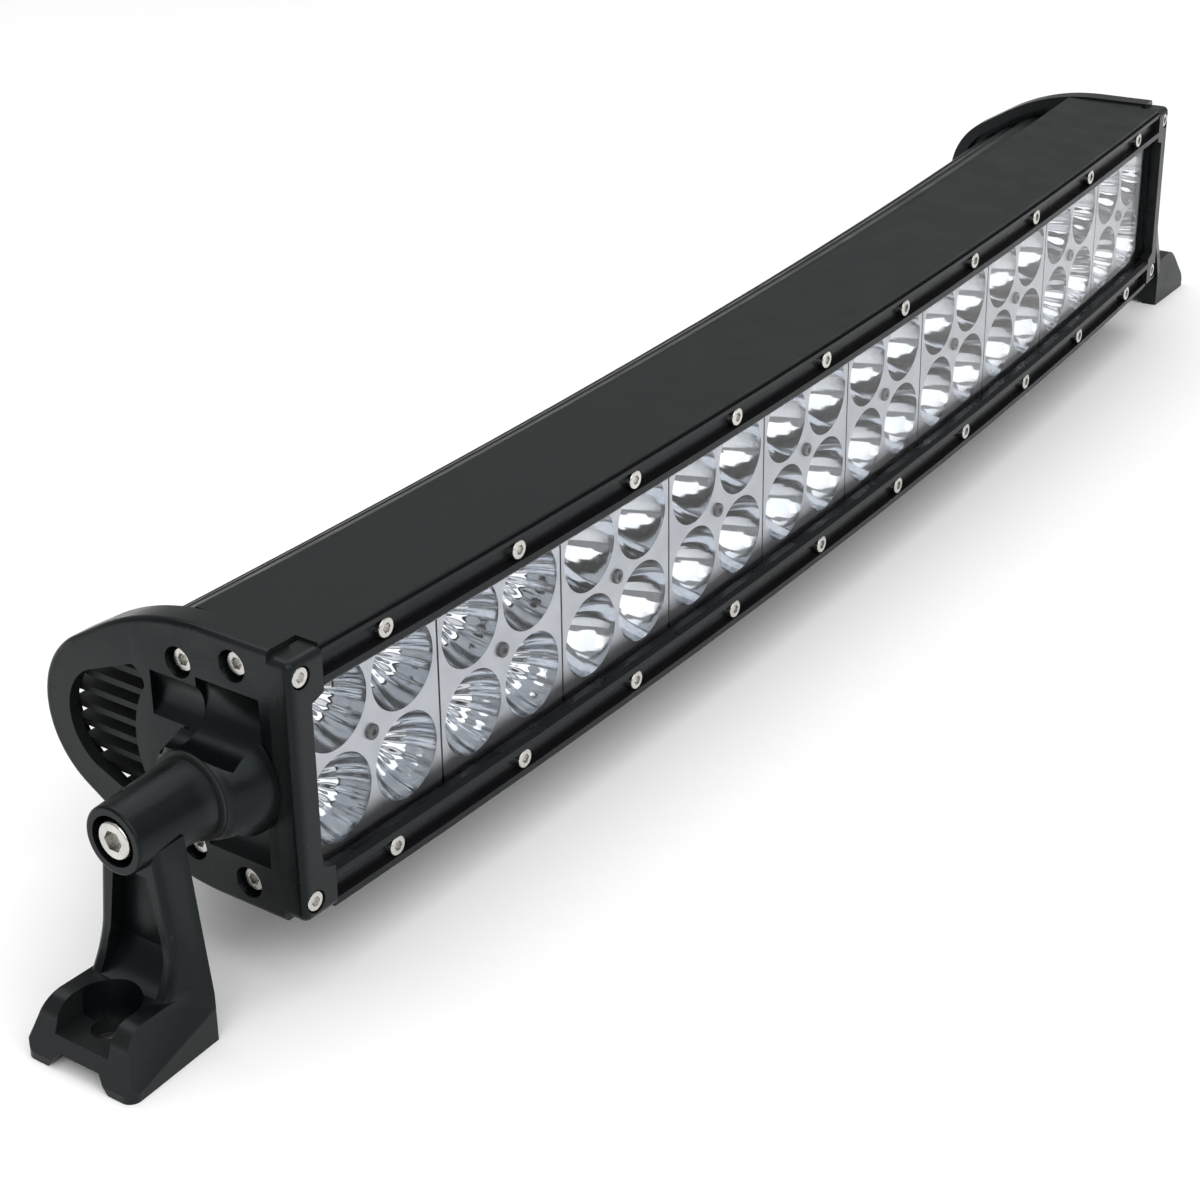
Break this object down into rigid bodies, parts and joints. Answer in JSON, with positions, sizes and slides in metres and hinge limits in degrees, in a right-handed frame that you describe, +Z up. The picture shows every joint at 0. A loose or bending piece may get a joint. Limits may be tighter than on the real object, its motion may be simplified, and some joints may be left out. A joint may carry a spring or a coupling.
{
  "type": "led light bar",
  "caption": "Curved double-row LED light bar with finned black housing and a tilting bracket at each end.",
  "frame": {"origin": "on the surface the bracket feet stand on, under the middle of the whole box", "axes": "+Z up, +X along the bar, the lamps face -Y"},
  "size_m": [0.6594, 0.095, 0.0931],
  "materials": {
    "housing_black": "black powder coat, satin",
    "strip_black": "black powder coat, semi-gloss",
    "cast_black": "black powder coat over a casting, satin",
    "clear_lens": "clear polycarbonate, glossy",
    "reflector_silver": "vacuum-metallised moulding, mirror bright",
    "stainless": "stainless steel, machined",
    "black_rubber": "matt",
    "board_white": "white solder mask on aluminium",
    "emitter_yellow": "phosphor under a clear dome",
    "board_green": "green solder mask",
    "driver_part": "moulded component bodies",
    "wire_red": "insulated wire",
    "nylon_black": "moulded nylon"
  },
  "bodies": {
    "light_bar": {"housing": "housing_black", "top_bezel_strip": "strip_black", "bottom_bezel_strip": "strip_black", "lens": "clear_lens", "lens_gasket": "black_rubber", "reflector_01": "reflector_silver", "reflector_02": "reflector_silver", "reflector_03": "reflector_silver", "reflector_04": "reflector_silver", "reflector_05": "reflector_silver", "reflector_06": "reflector_silver", "reflector_07": "reflector_silver", "reflector_08": "reflector_silver", "reflector_09": "reflector_silver", "reflector_10": "reflector_silver", "led_boards": "board_white", "led_chips": "emitter_yellow", "driver_board": "board_green", "driver_components": "driver_part", "driver_spacers": "nylon_black", "driver_leads": "wire_red", "top_bezel_screws": "stainless", "bottom_bezel_screws": "stainless", "reflector_screws": "driver_part", "pillar_screws": "stainless", "left_cap_screws": "stainless", "right_cap_screws": "stainless", "pivot_bolts": "stainless", "head_washers": "black_rubber", "friction_washers": "nylon_black", "left_end_cap": "cast_black", "left_cap_gasket": "black_rubber", "left_front_pillar": "cast_black", "right_end_cap": "cast_black", "right_cap_gasket": "black_rubber", "right_front_pillar": "cast_black", "gland_body": "nylon_black", "gland_nut": "nylon_black", "gland_seal": "black_rubber", "breather_vent": "nylon_black"},
    "left_bracket_body": {"left_bracket": "cast_black"},
    "right_bracket_body": {"right_bracket": "cast_black"}
  },
  "joints": [
    {"name": "left_bracket_tilt", "type": "hinge", "parent": "light_bar", "child": "left_bracket_body", "pos_m": [-0.29775, -0.01448, 0.056], "axis": [0.9977, -0.0673, 0], "range_deg": [-90, 90]},
    {"name": "right_bracket_tilt", "type": "hinge", "parent": "light_bar", "child": "right_bracket_body", "pos_m": [0.29775, -0.01448, 0.056], "axis": [0.9977, 0.0673, 0], "range_deg": [-90, 90]}
  ]
}
